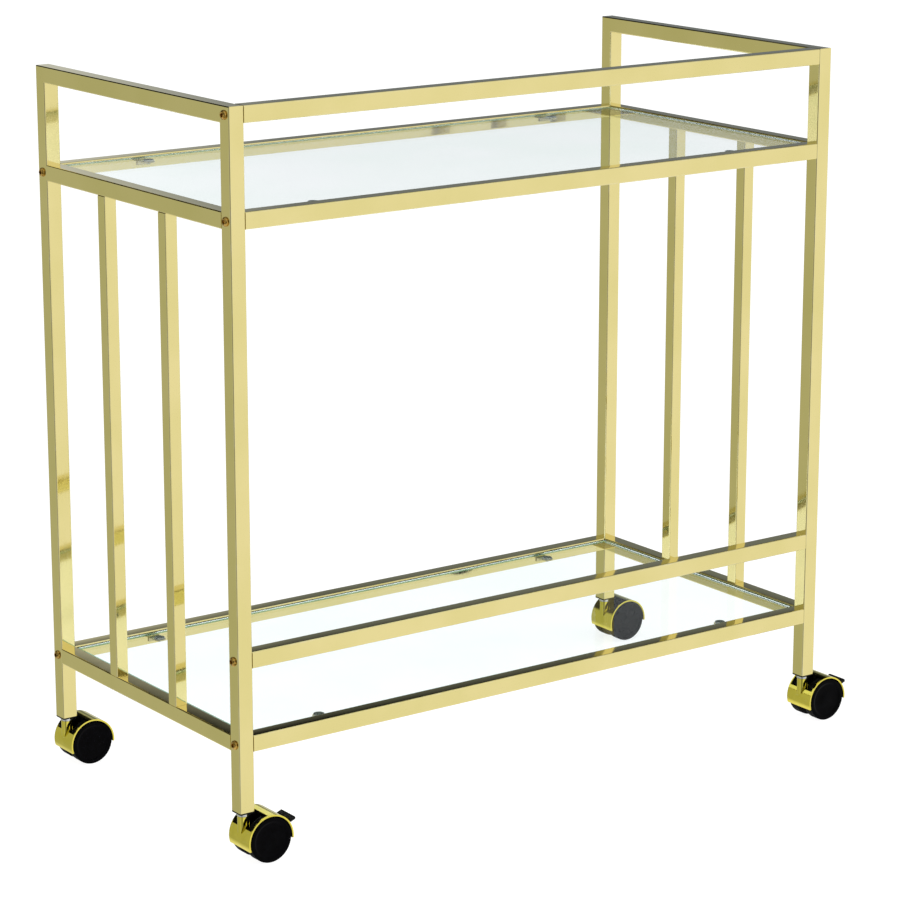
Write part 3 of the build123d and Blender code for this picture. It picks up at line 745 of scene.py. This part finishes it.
rib_tree = bpy.data.node_groups.new("rows_of_ribs", "GeometryNodeTree")
rib_inputs = {}
for name, kind in (("Count", "Int"), ("First", "Float"), ("Spacing", "Float"),
                   ("Rib", "Object"), ("Finish", "Material")):
    socket = rib_tree.interface.new_socket(name, in_out="INPUT",
                                           socket_type="NodeSocket" + kind)
    rib_inputs[name] = socket.identifier
rib_tree.interface.new_socket("Ribs", in_out="OUTPUT", socket_type="NodeSocketGeometry")
given = add_node(rib_tree, "NodeGroupInput").outputs
first = add_node(rib_tree, "ShaderNodeCombineXYZ", X=given["First"])
spacing = add_node(rib_tree, "ShaderNodeCombineXYZ", X=given["Spacing"])
row = add_node(rib_tree, "GeometryNodeMeshLine", {"mode": "OFFSET"}, Count=given["Count"],
               Start_Location=first.outputs[0], Offset=spacing.outputs[0])
rib_shape = add_node(rib_tree, "GeometryNodeObjectInfo", Object=given["Rib"])
copies = add_node(rib_tree, "GeometryNodeInstanceOnPoints", Points=row.outputs[0],
                  Instance=rib_shape.outputs["Geometry"])
real_ribs = add_node(rib_tree, "GeometryNodeRealizeInstances", Geometry=copies.outputs[0])
moulded = add_node(rib_tree, "GeometryNodeSetMaterial", Geometry=real_ribs.outputs[0],
                   Material=given["Finish"])
add_node(rib_tree, "NodeGroupOutput", Ribs=moulded.outputs[0])

carrier = bpy.data.objects.new("rib_carrier", bpy.data.meshes.new("empty"))
scene.collection.objects.link(carrier)
rows = carrier.modifiers.new("rows", "NODES")
rows.node_group = rib_tree
for label, value in (("Count", RIB_COUNT), ("First", FIRST_RIB), ("Spacing", RIB_SPACING),
                     ("Rib", one_rib), ("Finish", nylon)):
    rows[rib_inputs[label]] = value
rib_row = evaluated_mesh(carrier)
bpy.data.objects.remove(one_rib)
print("rib row:", len(rib_row.polygons), "faces")

# %% [markdown]
# ## A wheel's profile
# From its outer face to its inner one, a wheel has a shallow dish inside a raised rim, a rounded
# shoulder, a tread with two grooves, and behind it a cored recess round the hub. Each of these is
# a few rings, and together they are the whole closed profile. The first bands, from the middle
# of the face to the shoulder, are glossy, and all the rest is matt.

# %% Profile and finish of a wheel
WHEEL_RADIUS, WHEEL_SHOULDER, WHEEL_BORE = 25 * MM, 1.2 * MM, 3.06 * MM
DISH_DEPTH, GROOVE_DEPTH = 0.7 * MM, 0.35 * MM
GROOVE_HALF, GROOVE_FLOOR_HALF = 0.55 * MM, 0.3 * MM
CORE_RADIUS, HUB_RADIUS, FACE_THICKNESS, BORE_FLOOR = 20 * MM, 9 * MM, 4 * MM, 3.6 * MM
CORE_EDGE, RIM_EDGE = 0.4 * MM, 0.3 * MM
GLOSSY_BANDS = 9


def wheel_rings(outer, inner):
    """Profile of a wheel from its outer face to its inner face, as rings about the axle."""
    dish = outer - DISH_DEPTH
    rings = [(0, dish), (5.6 * MM, dish), (6.2 * MM, dish - 0.08 * MM),
             (17.6 * MM, dish - 0.25 * MM), (19.3 * MM, dish),
             (20.1 * MM, outer - 0.2 * MM), (20.8 * MM, outer)]
    shoulder = WHEEL_RADIUS - WHEEL_SHOULDER
    rings += arc_rings(shoulder, outer - WHEEL_SHOULDER, WHEEL_SHOULDER, 90, 0)
    groove_floor = WHEEL_RADIUS - GROOVE_DEPTH
    for share in (0.36, 0.64):
        middle = outer + (inner - outer) * share
        rings += [(WHEEL_RADIUS, middle + GROOVE_HALF),
                  (groove_floor, middle + GROOVE_FLOOR_HALF),
                  (groove_floor, middle - GROOVE_FLOOR_HALF),
                  (WHEEL_RADIUS, middle - GROOVE_HALF)]
    rings += arc_rings(shoulder, inner + WHEEL_SHOULDER, WHEEL_SHOULDER, 0, -90)
    core_floor, bore_floor = outer - FACE_THICKNESS, outer - BORE_FLOOR
    rings += [(CORE_RADIUS + RIM_EDGE, inner), (CORE_RADIUS, inner + CORE_EDGE),
              (CORE_RADIUS, core_floor), (HUB_RADIUS, core_floor),
              (HUB_RADIUS, inner + CORE_EDGE), (HUB_RADIUS - RIM_EDGE, inner),
              (WHEEL_BORE, inner), (WHEEL_BORE, bore_floor), (0, bore_floor)]
    return rings


def wheel_finish(band):
    """Gloss on the outer face and its rim, matt on the tread and everything behind it."""
    return 0 if band < GLOSSY_BANDS else 1


print("a wheel's profile has", len(wheel_rings(0, 0)), "rings")

# %% [markdown]
# ## Putting the casters together
# Every place comes from the caster's own CAD pieces: the wheels from the axle, the boss from the
# stem and the ribs from the brake pin. The hood's outside, rims and boss are plated; its web and
# inner faces are bare black. A face tells its side by where it is and which way it looks, so the
# hood's finish is a small function that each face is asked in turn.

# %% Hoods, wheels, stems and levers
casters = sorted(name[:-len("_hood")] for name in nodes if name.endswith("_hood"))
SHELL_RADIUS, BOSS_RADIUS, HOOD_HALF_WIDTH = 26.1 * MM, 6.4 * MM, 20 * MM
HOOD_EDGE, HOOD_SHARP_DEGREES, LEVER_EDGE = 0.3 * MM, 40, 0.5 * MM
LEANS_OUT = 0.3  # cosine to the direction away from the axle, over which a face looks outwards


for caster in casters:
    axle_low, axle_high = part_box(caster + "_axle")
    axle_centre = (axle_low + axle_high) / 2
    stem_low, stem_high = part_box(caster + "_stem")
    stem_centre = (stem_low + stem_high) / 2

    def hood_finish(face):
        """Plated outside, on the rims and on the boss; bare black on the web and inside."""
        centre = face.calc_center_median()
        from_stem = Vector((centre.x - stem_centre.x, centre.y - stem_centre.y, 0))
        if from_stem.length < BOSS_RADIUS + 0.2 * MM and centre.z > axle_centre.z:
            return PLATED
        if abs(centre.y - axle_centre.y) > HOOD_HALF_WIDTH - 0.1 * MM:
            return PLATED
        arms = [Vector((v.co.x - axle_centre.x, 0, v.co.z - axle_centre.z)) for v in face.verts]
        reach = sum(arm.length for arm in arms) / len(arms)
        looks_out = face.normal.dot(sum(arms, Vector()).normalized()) > LEANS_OUT
        return PLATED if looks_out or reach >= SHELL_RADIUS + 0.1 * MM else BARE_BLACK_AND_SHADE

    # Black strips of painted shade close the gap over each wheel.
    shade_strips = [gap_shade_strip(axle_centre, side) for side in (-1, 1)]
    hood = softened(caster + "_hood", HOOD_EDGE, HOOD_SHARP_DEGREES, hood_finish, shade_strips)
    hand_over(caster + "_plated_hood", hood, [caster + "_hood"], (hood_gold, black_inside_and_shade))
    for end in ("front", "back"):
        node_name = f"{caster}_{end}_wheel"
        low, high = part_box(node_name)
        mesh = turned(wheel_rings(high.y - low.y, 0), 96, wheel_finish)
        outward = -1 if end == "front" else 1
        turn_to_axle = Matrix.Rotation(-outward * math.pi / 2, 4, "X")
        inner_y = high.y if end == "front" else low.y
        mesh.transform(Matrix.Translation((axle_centre.x, inner_y, axle_centre.z)) @ turn_to_axle)
        hand_over(node_name + "_turned", mesh, [node_name], (wheel_black, tread))
    wear(caster + "_plug", nylon)
    wear(caster + "_stem", zinc)
    wear(caster + "_axle", zinc)
    if caster + "_brake_lever" in nodes:
        pin_low, pin_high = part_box(caster + "_brake_pin")
        grip = rib_row.copy()
        grip.materials.clear()
        grip.transform(Matrix.Translation((pin_low + pin_high) / 2)
                       @ Matrix.Rotation(-LEVER_RISE, 4, "Y"))
        lever = softened(caster + "_brake_lever", LEVER_EDGE, extras=[grip])
        hand_over(caster + "_moulded_lever", lever, [caster + "_brake_lever"], [nylon])
        wear(caster + "_brake_pin", zinc)
wear("stem_clips", zinc)
wear("rail_thread_blocks", zinc)
print("casters:", casters)

# %% [markdown]
# ## Studio
# Polished gold shows its surroundings more than itself, so the studio is the finish's other
# half. The world is a soft gradient, brightest towards the front right and dimmer and warmer
# towards the back left. A dark gap under the ceiling draws the thin dark lines along rounded
# edges, and a dim doorway low in the back wall darkens the tops of the rails on the right. The
# camera and anything seen through the glass get an even white instead, as in a light tent.

# %% World: walls and flag
world = bpy.data.worlds.new("light_tent")
world.use_nodes = True
scene.world = world
tree = world.node_tree
direction = add_node(tree, "ShaderNodeTexCoord").outputs["Generated"]
upward = add_node(tree, "ShaderNodeSeparateXYZ", Vector=direction).outputs["Z"]
to_key = add_node(tree, "ShaderNodeVectorMath", {"operation": "DOT_PRODUCT"}, _0=direction,
                  _1=(0.585, -0.811, 0))
to_key = add_node(tree, "ShaderNodeMapRange", _0=to_key.outputs["Value"], _1=-1.0, _2=1.0)
around = add_node(tree, "ShaderNodeValToRGB", Fac=to_key.outputs[0])
walls = around.color_ramp
walls.interpolation = "EASE"
walls.elements[0].position, walls.elements[0].color = 0.02, (0.51, 0.52, 0.40, 1)
walls.elements[1].position, walls.elements[1].color = 0.98, (0.99, 0.98, 0.93, 1)
for position, colour in ((0.33, (0.62, 0.64, 0.66, 1)), (0.62, (0.80, 0.82, 0.82, 1))):
    walls.elements.new(position).color = colour
# A black flag beside the camera, which only the upright corners reflect.
to_flag = add_node(tree, "ShaderNodeVectorMath", {"operation": "DOT_PRODUCT"}, _0=direction,
                   _1=(-0.811, -0.585, 0))
flag = add_node(tree, "ShaderNodeMapRange", _0=to_flag.outputs["Value"], _1=0.86, _2=0.96,
                _3=0.0, _4=0.8)
flagged = add_node(tree, "ShaderNodeMix", {"data_type": "RGBA"}, _0=flag.outputs[0],
                   _6=around.outputs[0], _7=(0.05, 0.05, 0.04, 1))
print("walls:", len(walls.elements), "tones round the tent")

# %% [markdown]
# The gap and the doorway are regions of the sky, each bounded by soft edges. An edge is a ramp
# from 0 to 1 over a small range of direction, and the product of a region's edges is 1 inside
# it and 0 outside.

# %% World: ceiling gap and doorway
# A dark gap between the back wall and the ceiling, on the side away from the camera.
gap_foot = add_node(tree, "ShaderNodeMapRange", _0=upward, _1=0.28, _2=0.34)
gap_head = add_node(tree, "ShaderNodeMapRange", _0=upward, _1=0.64, _2=0.76, _3=1.0, _4=0.0)
to_back = add_node(tree, "ShaderNodeVectorMath", {"operation": "DOT_PRODUCT"}, _0=direction,
                   _1=(0.643, 0.766, 0))
gap_width = add_node(tree, "ShaderNodeMapRange", _0=to_back.outputs["Value"], _1=0.0, _2=0.3)
# A dim doorway in the right half of the back wall, which the rails' tops mirror at a glance.
to_door = add_node(tree, "ShaderNodeVectorMath", {"operation": "DOT_PRODUCT"}, _0=direction,
                   _1=(0.866, -0.5, 0))
door_jamb = add_node(tree, "ShaderNodeMapRange", _0=to_door.outputs["Value"], _1=-0.03,
                     _2=0.05)
door_end = add_node(tree, "ShaderNodeMapRange", _0=to_door.outputs["Value"], _1=0.3, _2=0.45,
                    _3=1.0, _4=0.0)
door_sill = add_node(tree, "ShaderNodeMapRange", _0=upward, _1=0.03, _2=0.08)
door_head = add_node(tree, "ShaderNodeMapRange", _0=upward, _1=0.34, _2=0.40, _3=1.0, _4=0.0)
banded = flagged.outputs[2]
for edges, colour in (
        ((door_jamb, door_end, door_sill, door_head, gap_width), (0.18, 0.20, 0.23, 1)),
        ((gap_foot, gap_head, gap_width), (0.01, 0.01, 0.008, 1))):
    region = edges[0].outputs[0]
    for edge in edges[1:]:
        region = add_node(tree, "ShaderNodeMath", {"operation": "MULTIPLY"}, _0=region,
                          _1=edge.outputs[0]).outputs[0]
    banded = add_node(tree, "ShaderNodeMix", {"data_type": "RGBA"}, _0=region, _6=banded,
                      _7=colour).outputs[2]
# Whatever faces well downwards mirrors the white floor close by.
near_floor = add_node(tree, "ShaderNodeMapRange", _0=upward, _1=-0.42, _2=-0.55)
lit = add_node(tree, "ShaderNodeMix", {"data_type": "RGBA"}, _0=near_floor.outputs[0],
               _6=banded, _7=(1, 1, 0.97, 1)).outputs[2]
mirrored = add_node(tree, "ShaderNodeBackground", Color=lit, Strength=1.0)
even = add_node(tree, "ShaderNodeBackground", Color=(1, 1, 1, 1), Strength=1.0)
ray = add_node(tree, "ShaderNodeLightPath").outputs
seen = add_node(tree, "ShaderNodeMath", {"operation": "MAXIMUM"}, _0=ray["Is Camera Ray"],
                _1=ray["Is Transmission Ray"]).outputs[0]
mix = add_node(tree, "ShaderNodeMixShader", _0=seen, _1=mirrored.outputs[0], _2=even.outputs[0])
tree.links.new(mix.outputs[0], tree.nodes["World Output"].inputs["Surface"])
scene.view_settings.view_transform = "Standard"
print("world:", len(tree.nodes), "nodes")

# %% [markdown]
# ## Floor and camera
# The floor is a plain pale sheet. It carries its own light, so that it stays white right across,
# and reflections look past it to the light tent. The camera stands to the left of the front, a
# little above the cart, with a long lens, so that the uprights stay nearly parallel.

# %% Floor and camera
FLOOR_HALF = 30.0
corners = [(x * FLOOR_HALF, y * FLOOR_HALF, 0) for x, y in ((-1, -1), (1, -1), (1, 1), (-1, 1))]
mesh = bpy.data.meshes.new("studio_floor")
mesh.from_pydata(corners, [], [(0, 1, 2, 3)])
floor = bpy.data.objects.new("studio_floor", mesh)
scene.collection.objects.link(floor)
floor.location.z = -0.5 * MM
floor_white, _, _ = finish("studio_floor", ("#959595", "#9a9a9a"), 400, (0.85, 0.95), 40, 40,
                           0.01, Emission_Color=(1, 1, 1, 1), Emission_Strength=0.93,
                           Specular_IOR_Level=0.0)
mesh.materials.append(floor_white)
floor.visible_glossy = False
floor.visible_diffuse = False
floor.visible_shadow = False

camera_data = bpy.data.cameras.new("studio_camera")
camera_data.sensor_width = 36.0
camera_data.lens = 128.0
camera = bpy.data.objects.new("studio_camera", camera_data)
scene.collection.objects.link(camera)
camera.location = (-2.060, -2.870, 1.247)
yaw, pitch = math.radians(35.82), math.radians(14.26)
camera.rotation_euler = (math.pi / 2 - pitch, 0, -yaw)
scene.camera = camera
print("camera", round(camera.location.length, 2), "m from the cart's foot")
